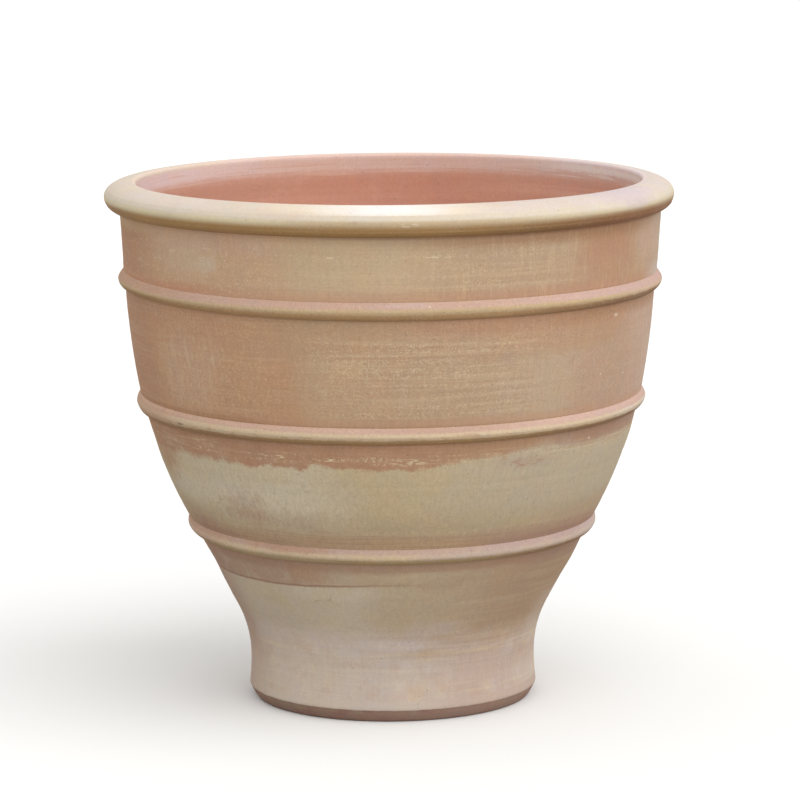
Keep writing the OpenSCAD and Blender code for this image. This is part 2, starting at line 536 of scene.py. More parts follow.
def minus(first, second):
    return maths("SUBTRACT", first, second)


def times(first, second, clamp=False):
    return maths("MULTIPLY", first, second, clamp)


def vector_maths(operation, *vectors):
    return wired("VectorMath", dict(enumerate(vectors)), operation=operation).outputs[0]


def vector(across, along, up=0.0):
    return wired("CombineXYZ", {0: across, 1: along, 2: up}).outputs[0]


def parts(place):
    return wired("SeparateXYZ", {0: place}).outputs


def ramp(value, start, end, low=0.0, high=1.0):
    """Smooth change from low to high as the value goes from start to end."""
    wires = {0: value, 1: start, 2: end, 3: low, 4: high}
    return wired("MapRange", wires, interpolation_type="SMOOTHSTEP").outputs[0]


def mix_colour(amount, below, above, blend="MIX"):
    return wired("Mix", {0: amount, 6: below, 7: above}, data_type="RGBA", blend_type=blend).outputs[2]


def noise(place, scale, detail=2.0, roughness=0.5):
    wires = {"Vector": place, "Scale": scale, "Detail": detail, "Roughness": roughness}
    return wired("TexNoise", wires).outputs[0]


def cells(place, scale):
    """A random number for each cell of a pattern, and the distance from the cell's middle."""
    found = wired("TexVoronoi", {"Vector": place, "Scale": scale}).outputs
    return wired("SeparateColor", {0: found["Color"]}).outputs[0], found["Distance"]


def stretched(place, across, up):
    """The place, squeezed so that a pattern is drawn out round the pot or up it."""
    return vector_maths("MULTIPLY", place, (across, across, up))


def drawn_out(place, length, height):
    """The same, where two sockets give the length and height of the marks in millimetres."""
    across, up = maths("DIVIDE", 1000.0, length), maths("DIVIDE", 1000.0, height)
    return vector_maths("MULTIPLY", place, vector(across, across, up))


def start_group(name, inputs, outputs):
    """A new node group; a socket with three numbers is a vector, and the rest are floats."""
    tree = bpy.data.node_groups.new(name, "ShaderNodeTree")
    for way, sockets in (("INPUT", inputs), ("OUTPUT", outputs)):
        for title, value in sockets.items():
            kind = "NodeSocketVector" if value == NOWHERE else "NodeSocketFloat"
            tree.interface.new_socket(name=title, in_out=way, socket_type=kind).default_value = value
    return tree, tree.nodes.new("NodeGroupInput").outputs, tree.nodes.new("NodeGroupOutput").inputs


def make_wall_place():
    """Where a point is on the pot: its height in millimetres, and its side from -1 left to 1 right."""
    outputs = {"Place": NOWHERE, "Height": 0.0, "Side": 0.0, "Front": 0.0, "Ragged": 0.0}
    tree, _, ends = start_group("wall place", {}, outputs)
    place = add_node(tree, "TexCoord", {}).outputs["Object"]
    here = parts(place)
    way = parts(vector_maths("NORMALIZE", vector(here[0], here[1])))
    feed(ends["Place"], place)
    feed(ends["Height"], times(here[2], 1000.0))
    feed(ends["Side"], way[0])
    feed(ends["Front"], times(way[1], -1.0))
    feed(ends["Ragged"], minus(noise(place, 55.0, 4.0, 0.6), 0.5))
    return tree


def make_height_zone():
    """A level zone between two heights, with soft or ragged edges."""
    inputs = {"Height": 0.0, "From": 0.0, "To": 100.0, "Edge": 5.0, "Ragged": 0.0, "Rag": 0.0}
    tree, given, ends = start_group("height zone", inputs, {"Mask": 0.0})
    start, end, edge = given["From"], given["To"], given["Edge"]
    height = plus(given["Height"], times(given["Ragged"], given["Rag"]))
    rise = ramp(height, minus(start, edge), plus(start, edge))
    fall = ramp(height, minus(end, edge), plus(end, edge), 1.0, 0.0)
    feed(ends["Mask"], times(rise, fall))
    return tree


def make_stain():
    """A blotch round one place on the wall, with a width, a height and a torn edge."""
    inputs = {"Place": NOWHERE, "Ragged": 0.0, "Centre": NOWHERE}
    inputs.update({"Width": 0.05, "Tall": 0.05, "Edge": 0.4, "Rag": 1.0})
    tree, given, ends = start_group("stain", inputs, {"Mask": 0.0})
    away = vector_maths("SUBTRACT", given["Place"], given["Centre"])
    half_wide, half_tall = times(given["Width"], 0.5), times(given["Tall"], 0.5)
    scaled = vector_maths("DIVIDE", away, vector(half_wide, half_wide, half_tall))
    far = wired("VectorMath", {0: scaled}, operation="LENGTH").outputs["Value"]
    torn = plus(far, times(given["Ragged"], given["Rag"]))
    inner, outer = minus(1.0, given["Edge"]), plus(1.0, given["Edge"])
    feed(ends["Mask"], ramp(torn, inner, outer, 1.0, 0.0))
    return tree


def make_wheel_lines():
    """Fine marks drawn out round the pot as it turned."""
    inputs = {"Place": NOWHERE, "Length": 60.0, "Spacing": 4.0, "From": 0.5, "To": 0.65, "Detail": 2.0}
    tree, given, ends = start_group("wheel lines", inputs, {"Mask": 0.0})
    drawn = drawn_out(given["Place"], given["Length"], given["Spacing"])
    grain = noise(drawn, 1.0, given["Detail"], 0.55)
    feed(ends["Mask"], ramp(grain, given["From"], given["To"]))
    return tree


def make_clay_grain():
    """The sandy skin of the fired clay: a shade round 1 for its grit and mottle, its tint and its relief."""
    inputs = {"Place": NOWHERE, "Grit": 0.2, "Mottle": 0.1, "Brushed": 0.1}
    tree, given, ends = start_group("clay grain", inputs, {"Shade": 0.0, "Warmth": 0.0, "Relief": 0.0})
    place = given["Place"]
    grit = noise(place, 340.0, 3.0, 0.72)
    mottle = noise(place, 110.0, 3.0, 0.6)
    turned = noise(stretched(place, 10.0, 420.0), 1.0, 3.0, 0.6)
    brushed = noise(stretched(place, 230.0, 24.0), 1.0, 2.0, 0.5)
    chance, far = cells(place, 80.0)
    pits = times(ramp(far, 0.06, 0.13, 1.0, 0.0), ramp(chance, 0.60, 0.62))
    shade = minus(1.0, times(pits, 0.22))
    for pattern, amount in ((grit, "Grit"), (mottle, "Mottle"), (turned, "Mottle"), (brushed, "Brushed")):
        shade = plus(shade, times(minus(pattern, 0.5), given[amount]))
    relief = plus(plus(times(grit, 0.6), times(turned, 0.35)), times(brushed, 0.15))
    feed(ends["Shade"], shade)
    feed(ends["Warmth"], noise(place, 36.0, 3.0, 0.55))
    feed(ends["Relief"], minus(relief, times(pits, 0.8)))
    return tree


def make_speckle():
    """Pale specks of lime, all over and thicker in the rows that the potter's fingers dragged round."""
    inputs = {"Place": NOWHERE, "Size": 2.6, "Rows": 6.0, "Length": 120.0, "Everywhere": 0.3}
    tree, given, ends = start_group("speckled rows", inputs, {"Mask": 0.0})
    chance, far = cells(given["Place"], maths("DIVIDE", 1000.0, given["Size"]))
    specks = times(ramp(far, 0.68, 0.22), ramp(chance, 0.15, 0.75))
    rows = drawn_out(given["Place"], given["Length"], given["Rows"])
    rows = ramp(noise(rows, 1.0, 1.5), 0.46, 0.66)
    feed(ends["Mask"], times(specks, plus(rows, given["Everywhere"], clamp=True)))
    return tree


WALL_PLACE = make_wall_place()
HEIGHT_ZONE = make_height_zone()
STAIN = make_stain()
WHEEL_LINES = make_wheel_lines()
CLAY_GRAIN = make_clay_grain()
SPECKLE = make_speckle()


class Finish:
    """One material, built up in coats of colour over the fired clay."""

    def __init__(self, name, ground, coats):
        """Each coat is a colour, its strength, and the masks that together say where it lies."""
        self.material = bpy.data.materials.new(name)
        self.material.use_nodes = True
        self.tree = self.material.node_tree
        self.own = {}
        self.own = {socket.name: socket for socket in self.group(WALL_PLACE)}
        self.place, self.height, self.side, self.front, self.ragged = self.own.values()
        self.made = {}
        self.colour = ground
        for colour, amount, *masks in coats:
            weight = times(self.make(both(*masks)), amount, clamp=True)
            self.colour = mix_colour(weight, self.colour, colour)

    def group(self, tree, **given):
        """The outputs of a node group, which finds its own place on the wall."""
        made = add_node(self.tree, "Group", given, node_tree=tree)
        for socket in made.inputs:
            if socket.name in self.own:
                feed(socket, self.own[socket.name])
        return made.outputs

    def make(self, mask):
        """The socket of a mask, which each finish makes only once."""
        if mask not in self.made:
            self.made[mask] = mask(self)
        return self.made[mask]

    def fire(self, roughness, grit, mottle, brushed):
        """Adds the sandy skin, and wires the shader."""
        if callable(grit):
            grit = self.make(grit)
        skin = self.group(CLAY_GRAIN, Grit=grit, Mottle=mottle, Brushed=brushed)
        warm = ramp(skin["Warmth"], 0.3, 0.7)
        tint = mix_colour(warm, (1.015, 1.0, 0.97, 1.0), (0.985, 1.0, 1.03, 1.0))
        tinted = mix_colour(1.0, self.colour, tint, "MULTIPLY")
        shader = self.tree.nodes["Principled BSDF"].inputs
        feed(shader["Base Color"], mix_colour(1.0, tinted, skin["Shade"], "MULTIPLY"))
        feed(shader["Roughness"], ramp(skin["Warmth"], 0.2, 0.8, roughness - 0.05, roughness + 0.05))
        wires = {"Height": skin["Relief"], "Strength": BUMP, "Distance": BUMP_DEPTH}
        feed(shader["Normal"], wired("Bump", wires).outputs["Normal"])
        feed(shader["Specular IOR Level"], SHEEN)
        return self.material


# ---- Masks: each is a function of the finish it is made for, and returns a socket ----


def both(*masks):
    """Where all of these masks are."""
    return lambda skin: reduce(times, [skin.make(mask) for mask in masks])


def between(value, start, end, low=0.0, high=1.0):
    """Changes from low to high as the value goes from start to end."""
    return lambda skin: ramp(skin.make(value), start, end, low, high)


def height_of(skin):
    return skin.height


def side_of(skin):
    return skin.side


def facing(skin):
    """How far the surface faces up, from -1 to 1."""
    return parts(add_node(skin.tree, "TexCoord", {}).outputs["Normal"])[2]


def side(start, end):
    """Grows from the start to the end, both from -1 at the left to 1 at the right."""
    return between(side_of, start, end)


def up(start, end):
    """Grows as the surface turns from one facing to the other."""
    return between(facing, start, end)


def zone(start, end, edge=5.0, rag=0.0):
    """A level zone between two heights, with soft or ragged edges."""
    return lambda skin: skin.group(HEIGHT_ZONE, From=start, To=end, Edge=edge, Rag=rag)[0]


# Rough outside radius of the wall at each height, for putting marks on it
WALL_RADII = [(0, 200), (67, 202), (137, 216), (238, 274), (261, 288), (337, 325), (414, 349)]
WALL_RADII += [(507, 362), (584, 372), (647, 378), (696, 380), (716, 400), (738, 362)]


def spot(azimuth, height, out):
    """A place on the wall: degrees to the right of the front, millimetres up and out from it."""
    low, high, share = look_up(WALL_RADII, height)
    radius = low + (high - low) * share + out
    angle = math.radians(azimuth)
    return (radius * MM * math.sin(angle), -radius * MM * math.cos(angle), height * MM)


def stain(azimuth, height, width, tall, edge=0.4, rag=1.0, out=0.0):
    """A blotch round one place on the wall, measured in millimetres."""
    given = {"Centre": spot(azimuth, height, out), "Width": width * MM, "Tall": tall * MM}
    return lambda skin: skin.group(STAIN, Edge=edge, Rag=rag, **given)[0]


def lines(length, spacing, start, end, detail=2.0):
    """Marks drawn out round the pot; the start and end say how much of the wall they leave bare."""
    given = {"Length": length, "Spacing": spacing, "From": start, "To": end, "Detail": detail}
    return lambda skin: skin.group(WHEEL_LINES, **given)[0]


def strokes(start, end):
    """Short upright marks of the brush or the rib."""
    return lines(4.5, 46, start, end, 1.5)


def patches(size, start, end, detail=3.0):
    """Cloudy patches of about this size in millimetres."""
    return lambda skin: ramp(noise(skin.place, 1000.0 / size, detail, 0.55), start, end)


def speckle(size, rows, length, everywhere):
    """Pale specks, thicker in rows of this spacing and length."""
    given = {"Size": size, "Rows": rows, "Length": length, "Everywhere": everywhere}
    return lambda skin: skin.group(SPECKLE, **given)[0]


def dashes(azimuth, height, width, tall):
    """A broken row of short pale flecks."""
    return both(stain(azimuth, height, width, tall, 0.5, 1.2), lines(11, 1.7, 0.50, 0.60, 1.0))


def scratch(skin):
    """Fine wandering lines all over the skin of the clay."""
    grain = noise(stretched(skin.place, 16.0, 34.0), 1.0, 2.0, 0.6)
    return ramp(maths("ABSOLUTE", minus(grain, 0.5)), 0.003, 0.014, 1.0, 0.0)


def above_cut(skin):
    """Millimetres above the line cut round the foot, which runs a little lower at the left."""
    line = ramp(skin.side, -0.7, 0.0, 197.3, 204.2)
    return minus(plus(skin.height, times(skin.ragged, 3.0)), line)


def torn_edge(skin):
    """All above the line where the bloom stops in ragged scallops, softer at the sides."""
    line = ramp(skin.side, 0.06, 0.75, 379.0, 404.0)
    swing = noise(stretched(skin.place, 24.0, 0.0), 1.0, 1.5)
    coarse = noise(skin.place, 130.0, 3.0, 0.65)
    fine = noise(skin.place, 400.0, 3.0, 0.75)
    level = skin.height
    for pattern, reach in ((swing, 28.8), (coarse, 12.8), (fine, 15.0)):
        level = plus(level, times(minus(pattern, 0.5), reach))
    soft = plus(ramp(skin.side, 0.1, 0.6, 3.0, 9.0), ramp(skin.side, -0.55, -0.8, 0.0, 4.0))
    return ramp(maths("DIVIDE", minus(level, line), soft), -1.0, 1.0)


def crest_highlight(skin):
    """A painted highlight: the palest strip along the crest of the rim, which fades away from the front."""
    turned = times(minus(1.0, skin.front), 0.9)
    ragged = times(skin.ragged, 0.12)
    return ramp(minus(skin.make(facing), plus(turned, ragged)), 0.60, 0.90)


# ---- Coats: a colour, its strength, and the masks that together say where it lies ----

# Pale buff bloom on the foot, paler at the left partly as painted light, browner in a strip under the lower
# band
LOW_FOOT = zone(-10, 112, 20, 30)
HIGH_FOOT = zone(131, 270, 22, 24)
TURNED_FOOT = both(zone(88, 236, 20, 30), side(-0.3, 0.2))
CUT_STRIP = between(above_cut, -0.8, 1.6)
CUT_LINE = both(between(above_cut, -2.2, -0.8), between(above_cut, 0.8, 2.2, 1.0, 0.0))
DRAWN_FOOT = both(zone(160, 232, 10, 6), side(0.1, 0.4))
FOOT_COATS = [
    # Paler at the left: partly bloom, partly painted light falling from the left
    (BUFF_LEFT, 0.9, side(-0.15, -0.5)),
    (BUFF_RIGHT, 1.0, side(0.05, 0.55)),
    (CREAM, 0.2, patches(52, 0.5, 0.68)),
    (ROSE_GREY, 0.16, LOW_FOOT, patches(44, 0.46, 0.64)),
    (PINK_TAN, 0.34, patches(30, 0.48, 0.28)),
    (PINK_TAN, 0.16, patches(9, 0.5, 0.68)),
    (PINK_TAN, 0.05, LOW_FOOT, strokes(0.52, 0.72)),
    (CREAM, 0.2, lines(170, 7, 0.5, 0.7), zone(24, 190, 12)),
    (CREAM, 0.4, zone(93, 101, 4, 14), lines(110, 5, 0.42, 0.6)),
    (ROSE_GREY, 0.26, zone(96, 136, 16, 30), side(0.25, -0.1)),
    (BUFF_LEFT, 0.6, zone(-5, 66, 16), side(0.72, 1.0)),
    (BUFF_KHAKI, 0.95, HIGH_FOOT, side(-0.32, 0.0)),
    (FOOT_PALE, 0.8, HIGH_FOOT, side(0.0, -0.3)),
    (KHAKI, 0.4, HIGH_FOOT, patches(60, 0.5, 0.72)),
    (FOOT_TAN, 1.0, zone(119, 270, 22, 30), side(0.08, 0.75)),
    (BUFF_EDGE, 0.8, side(-0.8, -1.0)),
    (DUSTY_BROWN, 0.35, side(-0.84, -0.97), zone(80, 270, 20, 20)),
    (FOOT_TAN, 0.62, TURNED_FOOT, lines(340, 19, 0.46, 0.72)),
    (BUFF_KHAKI, 0.35, TURNED_FOOT, lines(260, 10, 0.5, 0.75)),
    (LIME, 0.18, stain(-20, 191, 130, 26, 0.5, 1.5)),
    (FOOT_TAN, 0.3, stain(10, 158, 130, 74, 0.6, 1.5)),
    (BUFF_LEFT, 0.45, zone(92, 165, 14, 20), side(0.82, 0.95)),
    (TAN, 0.35, CUT_STRIP, side(0.2, -0.1)),
    (DUSTY_BROWN, 0.55, CUT_STRIP, side(-0.22, -0.52)),
    (PINK_BROWN, 0.5, CUT_STRIP, side(-0.8, -0.95)),
    (BUFF_LEFT, 0.4, CUT_STRIP, patches(26, 0.5, 0.7), side(-0.2, -0.5)),
    (DUSTY_BROWN, 0.62, zone(223, 270, 6, 10)),
    (SANDY_ORANGE, 0.35, stain(-27, 219, 60, 22, 0.5, 2.5)),
    (RED_BROWN, 0.62, CUT_LINE, side(0.25, -0.35)),
    (ORANGE_DARK, 0.2, DRAWN_FOOT, lines(190, 4.6, 0.52, 0.7)),
    (BUFF_LEFT, 0.18, DRAWN_FOOT, lines(150, 6.4, 0.54, 0.72)),
    (ORANGE_DARK, 0.4, stain(-22, 181, 90, 14), scratch),
    (ORANGE_DARK, 0.4, stain(-44, 118, 50, 16), scratch),
    (ORANGE_DARK, 0.4, stain(-12, 141, 34, 16), scratch),
    (SANDY_ORANGE, 0.4, stain(-67, 122, 10, 46, 0.5, 2.0)),
    (ROSE_GREY, 0.18, stain(16, 136, 90, 20, 0.6, 2.0)),
    (ROSE_GREY, 0.26, stain(2, 112, 80, 24, 0.6, 2.0)),
    (FOOT_TAN, 0.4, stain(15, 207, 90, 22, 0.6, 2.0)),
    (PINK_TAN, 0.3, stain(4, 26, 70, 36, 0.6, 1.5)),
    (BEVEL_BROWN, 0.42, zone(216, 240, 8, 6), side(0.55, 0.85)),
    (LIME, 0.8, stain(24.5, 128, 4, 4, 0.4, 0.4)),
]

# Khaki bloom with a torn upper edge, orange-brown clay above it and pink-brown below
LOW_MIDDLE = zone(240, 279, 10, 9)
# The groove just above the lower band, where shade is painted
CREASE = zone(250, 269, 3, 5)
DRAWN_MIDDLE = both(zone(384, 404, 5, 4), side(0.08, 0.3))
MIDDLE_COATS = [
    (KHAKI_PALE, 0.95, side(-0.08, -0.5)),
    (KHAKI_RIGHT, 1.0, side(0.05, 0.5)),
    (KHAKI_LOW, 0.75, zone(230, 307, 18, 16)),
    (BLOOM, 0.16, patches(70, 0.5, 0.75)),
    (DUSTY_BROWN, 0.3, patches(3.2, 0.63, 0.72, 1.0)),
    (LIME, 0.13, zone(284, 344, 12), side(0.0, -0.3), side(-0.86, -0.66)),
    (KHAKI, 0.35, zone(348, 388, 12), side(-0.3, -0.5)),
    (DUSTY_BROWN, 0.3, stain(-38, 305, 150, 60, 0.6, 2.0), strokes(0.5, 0.66)),
    (DUSTY_BROWN, 0.34, stain(-40, 309, 74, 40, 0.6, 3.0)),
    (DUSTY_BROWN, 0.2, stain(-22, 298, 60, 24, 0.6, 3.0)),
    (DUSTY_BROWN, 0.16, patches(7, 0.52, 0.68), side(0.3, -0.3)),
    (TAN, 0.8, LOW_MIDDLE),
    (PINK_BROWN, 0.6, LOW_MIDDLE, side(0.2, 0.6)),
    (PINK_BROWN, 0.8, LOW_MIDDLE, side(-0.72, -0.92)),
    (PINK_BROWN, 0.35, lines(120, 2.4, 0.5, 0.62), zone(259, 285, 4)),
    (PINK_BROWN, 0.35, stain(-68, 283, 120, 34, 0.6, 1.6)),
    (PINK_BROWN, 0.12, stain(-36, 293, 70, 34, 0.6, 3.0)),
    # Painted shade in the groove just above the lower band
    (ORANGE_DARK, 0.3, lines(200, 2.6, 0.5, 0.6), zone(262, 271, 2.5)),
    (BEVEL_RED, 0.32, CREASE, side(0.3, 0.8)),
    (BEVEL_RED, 0.25, CREASE, side(-0.3, -0.8)),
    (PINK_BROWN, 0.22, zone(262, 306, 12), side(0.6, 0.85)),
    (BRICK, 0.92, stain(-75, 370, 128, 64, 0.6, 1.0)),
    (KHAKI_LOW, 0.6, side(-0.88, -1.0), zone(262, 420, 10)),
    (BRICK, 0.95, torn_edge),
    (BLOOM, 0.55, lines(60, 3.0, 0.42, 0.62), zone(381, 407, 5), side(-0.5, -0.8)),
    (BLOOM, 0.22, torn_edge, lines(60, 2.2, 0.5, 0.66), zone(380, 414, 6)),
    (ORANGE_DARK, 0.22, torn_edge, patches(34, 0.5, 0.66)),
    (ORANGE_DARK, 0.14, torn_edge, patches(16, 0.52, 0.7)),
    (TAN_DARK, 0.65, torn_edge, side(0.0, 0.5)),
    (ORANGE_DARK, 0.3, torn_edge, side(-0.8, -0.97)),
    (PINK_BROWN, 0.9, zone(395, 425, 4, 6), side(0.5, 0.8)),
    (ORANGE_DARK, 0.35, zone(397, 425, 4, 6), stain(55, 408, 110, 50)),
    (TAN_DARK, 0.5, DRAWN_MIDDLE, lines(110, 3.0, 0.46, 0.6)),
    (CREAM, 0.22, DRAWN_MIDDLE, lines(70, 2.2, 0.58, 0.7)),
    (CREAM, 0.7, zone(384, 399, 4, 3), speckle(2.6, 4, 60, 0.1)),
    (CREAM, 0.85, dashes(-27, 392, 44, 5)),
    (CREAM, 0.85, dashes(-13, 391, 74, 4)),
    (CREAM, 0.65, dashes(4, 389, 54, 9)),
    (CREAM, 0.45, dashes(-48, 402, 40, 7)),
    (SANDY_ORANGE, 0.7, stain(-26, 354, 4.5, 12, 0.5, 1.0)),
    (DUSTY_BROWN, 0.7, stain(33, 378, 66, 11, 0.5, 1.0), lines(13, 2.6, 0.52, 0.64, 1.5)),
    (PINK_BROWN, 0.3, stain(34, 381, 80, 18, 0.6, 2.0)),
    (ORANGE_DARK, 0.28, stain(22, 404, 130, 22, 0.6, 1.5)),
    (LIME, 0.6, stain(52, 399, 5, 3.4, 0.5, 1.0)),
]

# Tan clay with pale speckled wheel lines, browner at the left and pinker at the right
HAZE = stain(-49, 503, 122, 118, 0.4, 1.4)
LEFT_SIDE = side(-0.3, -0.5)
UPPER_FRONT = both(zone(450, 562, 9), side(-0.42, -0.15), side(0.64, 0.42))
UPPER_COATS = [
    (SANDY_ORANGE, 1.0, side(-0.26, -0.4)),
    (BLOOM_GREY, 0.36, HAZE),
    (SPECK, 0.22, HAZE, strokes(0.48, 0.66)),
    (SPECK, 0.22, LEFT_SIDE, patches(4.2, 0.5, 0.66, 2.0)),
    (ORANGE_DARK, 0.16, LEFT_SIDE, patches(5.0, 0.54, 0.68, 2.0)),
    (BRICK, 0.95, side(-0.85, -0.92)),
    (TAN_GREY, 0.85, side(0.3, 0.46)),
    (PINK_SAND, 0.9, side(0.62, 0.74)),
    (PINK_TAN, 0.9, side(0.84, 0.94)),
    # Painted sheen along the right edge
    (BUFF, 0.45, side(0.93, 1.0)),
    (UPPER_BROWN, 0.5, side(-0.25, 0.05), side(0.62, 0.4)),
    (TAN_DARK, 0.85, zone(530, 600, 14, 10), side(-0.6, -0.3)),
    (ORANGE_BROWN, 0.3, zone(535, 600, 14, 10), side(0.0, 0.2)),
    (BRICK, 0.3, zone(535, 600, 16, 10), side(-0.4, -0.7)),
    (ORANGE_BROWN, 0.7, zone(561, 600, 9, 12), side(-0.1, 0.35)),
    (UPPER_MAUVE, 0.6, zone(526, 600, 14, 10), side(0.8, 0.96)),
    (UPPER_BROWN, 0.4, zone(520, 562, 12), side(-0.1, 0.1), side(0.52, 0.36)),
    # Painted shade under the upper band at the right
    (ORANGE_DARK, 0.6, zone(569, 600, 8, 4), side(0.45, 0.75)),
    # Darker orange just above the middle band: partly dirt in the crease, partly painted shade in it
    (ORANGE_TAN, 0.45, zone(420, 449, 4, 5)),
    (ORANGE_DARK, 0.55, zone(420, 445, 3, 5), side(-0.4, -0.6)),
    (ORANGE_DARK, 0.4, zone(420, 439.4, 1.4, 2)),
    (SANDY_ORANGE, 0.26, UPPER_FRONT, side(0.2, -0.1)),
    (SPECK, 0.2, UPPER_FRONT, lines(260, 5, 0.48, 0.66)),
    (SPECK, 0.14, UPPER_FRONT, lines(200, 2.4, 0.52, 0.66)),
    (SPECK, 0.62, UPPER_FRONT, speckle(2.5, 5, 150, 0.35)),
    (SPECK, 0.26, zone(450, 588, 9), speckle(2.3, 14, 60, 0.5)),
    (SPECK, 0.1, side(-0.3, -0.5), lines(180, 5, 0.5, 0.68)),
    (BLOOM_PINK, 0.2, side(0.1, 0.35), strokes(0.52, 0.7)),
    (BLOOM, 0.22, lines(120, 2.6, 0.52, 0.68), side(-0.2, -0.5)),
    (BRICK, 0.3, lines(20, 3.2, 0.6, 0.68, 1.0), side(0.35, 0.5)),
    (BLOOM_PINK, 0.3, stain(31, 510, 5, 170, 0.6, 0.3)),
    (LIME, 0.6, stain(56, 568, 9, 5.4, 0.6, 2.5)),
    (LIME, 0.6, stain(62, 483, 5, 3, 0.6, 2.5)),
    (LIME, 0.6, stain(52, 489, 5, 3, 0.6, 2.5)),
    (LIME, 0.6, stain(60, 470, 3, 1.8, 0.6, 2.5)),
    (DARK_CLAY_AND_SHADE, 0.7, stain(41, 536, 3.4, 4.4, 0.5, 0.6)),
]

# Ochre clay, browner at the left and pinker at the right, with orange next to the rim and band
LOW_COLLAR = zone(590, 621, 6, 8)
COLLAR_FRONT = both(zone(619, 687, 10), side(-0.8, -0.3), side(0.85, 0.45))
COLLAR_LEFT = both(zone(612, 690, 6), side(-0.3, -0.5))
COLLAR_COATS = [
    (OCHRE_RIGHT, 0.95, side(0.0, 0.35)),
    (OCHRE_LEFT, 0.85, side(-0.3, -0.45)),
    (BRICK, 0.95, side(-0.8, -0.97)),
    (BRICK, 0.95, stain(52, 656, 130, 116, 0.5, 1.0)),
    (BLOOM_PINK, 0.7, stain(70, 662, 90, 70, 0.5, 1.0)),
    (ORANGE_BROWN, 0.2, zone(590, 632, 10, 8)),
    (TAN_DARK, 0.25, zone(590, 650, 12, 8), side(0.0, 0.2)),
    (BLOOM, 0.6, stain(-46, 660, 120, 60, 0.5, 2.0)),
    (BAND_KHAKI, 0.42, stain(-45, 655, 84, 34, 0.3, 2.6)),
    (BUFF_LEFT, 0.3, stain(-41, 651, 44, 22, 0.14, 2.2)),
    (ORANGE_DARK, 0.78, zone(680, 710, 7, 12), side(0.99, 0.84), side(-0.2, 0.6)),
    (ORANGE_DARK, 0.45, zone(674, 710, 9, 12), side(-0.8, -0.95)),
    # Painted sheen along the right edge
    (BUFF, 0.4, side(0.93, 1.0)),
    # Painted shade in the crease under the rim
    (RED_BROWN, 0.3, zone(692.5, 710, 1.2, 2)),
    (OCHRE_LIGHT, 0.8, zone(680, 710, 8, 12), side(-0.1, -0.4)),
    (ORANGE_TAN, 0.42, stain(-34, 684, 76, 30, 0.6, 1.0)),
    (ROSE_PALE, 0.4, zone(668, 710, 9, 12), side(-0.3, -0.5), side(-0.92, -0.8)),
    (ORANGE_TAN, 0.55, LOW_COLLAR),
    (ORANGE_BROWN, 0.4, LOW_COLLAR, side(0.1, 0.35)),
    (ORANGE_BLUSH, 0.6, LOW_COLLAR, side(-0.5, -0.8)),
    (SALMON_DARK, 0.22, zone(590, 614, 5, 5), side(-0.55, -0.85)),
    # Painted shade in the groove just above the upper band
    (ORANGE_DARK, 0.3, zone(590, 610, 1.4, 2)),
    # Painted sheen along the right edge, just above the band
    (BUFF, 0.9, zone(590, 624, 8, 4), side(0.91, 1.0)),
    (SPECK, 0.14, COLLAR_FRONT, lines(240, 5, 0.5, 0.68)),
    (SPECK, 0.5, COLLAR_FRONT, speckle(2.1, 5, 150, 0.3)),
    (SPECK, 0.14, side(0.0, 0.25), strokes(0.52, 0.7)),
    (BRICK, 0.26, lines(20, 3.2, 0.6, 0.68, 1.0), side(0.3, 0.6)),
    (CREAM, 0.65, dashes(9, 668.5, 60, 3)),
    (CREAM, 0.6, dashes(-12, 668, 14, 3)),
    (SPECK, 0.4, COLLAR_LEFT, speckle(2.2, 6, 40, 0.25)),
    (LIME, 0.4, COLLAR_LEFT, patches(3.0, 0.66, 0.74, 1.0)),
    (CREAM, 0.4, dashes(-50, 664, 46, 4)),
    (CREAM, 0.4, dashes(-63, 672, 26, 4)),
    (CREAM, 0.4, dashes(-41, 671, 22, 4)),
    (CREAM, 0.4, dashes(-66, 642, 24, 4)),
    (CREAM, 0.4, dashes(-57, 650, 20, 4)),
]

# Cream bloom on top of the rim; golden brown under it, partly the clay and partly painted shade tinted by
# light bounced from the ground
UNDER_RIM = up(0.05, -0.5)
RIM_COATS = [
    (RIM_LEFT, 1.0, side(-0.15, -0.5)),
    (RIM_RIGHT, 1.0, side(0.25, 0.6)),
    (RIM_TOP, 1.0, up(0.12, 0.42)),
    (RIM_CREST, 0.9, up(0.62, 0.92)),
    (RIM_ROSY, 0.9, up(0.62, 0.92), side(0.1, 0.4)),
    (BLUSH, 0.12, stain(-22, 727, 80, 12, 0.6, 3.0)),
    (ROSE_GREY, 0.22, stain(-52, 730, 200, 14, 0.6, 2.0)),
    (LAVENDER, 0.75, stain(57, 733, 124, 34, 0.5, 2.0)),
    # Painted highlight along the crest of the rim, whitest at the front
    (RIM_HIGHLIGHT_CREAM, 0.85, crest_highlight, side(-0.6, -0.2), side(0.5, 0.1)),
    (RIM_HIGHLIGHT_WHITE, 1.0, crest_highlight, side(-0.34, -0.02), side(0.3, 0.02)),
    # Painted shade on the underside of the rim, over its own brown, darker towards the right and at the left
    # end
    (RIM_UNDER, 1.0, UNDER_RIM),
    (RIM_UNDER_RIGHT, 1.0, UNDER_RIM, side(0.1, 0.7)),
    (RIM_UNDER_RED_SHADE, 0.9, UNDER_RIM, side(0.55, 0.8)),
    (BAND_UNDER_SHADE, 0.5, UNDER_RIM, side(-0.82, -0.95)),
    # Painted shade in the crease where the rim turns down into the collar
    (DARK_CLAY_AND_SHADE, 0.3, up(-0.8, -0.98)),
    (SPECK, 0.2, up(0.3, -0.2), speckle(2.4, 5, 80, 0.3)),
    (BLOOM_PINK, 0.15, patches(40, 0.5, 0.75)),
    (LIME, 0.5, dashes(3.5, 714, 34, 5)),
    (PINK_BROWN, 0.3, stain(-6.5, 718, 16, 5, 0.6, 2.5)),
]
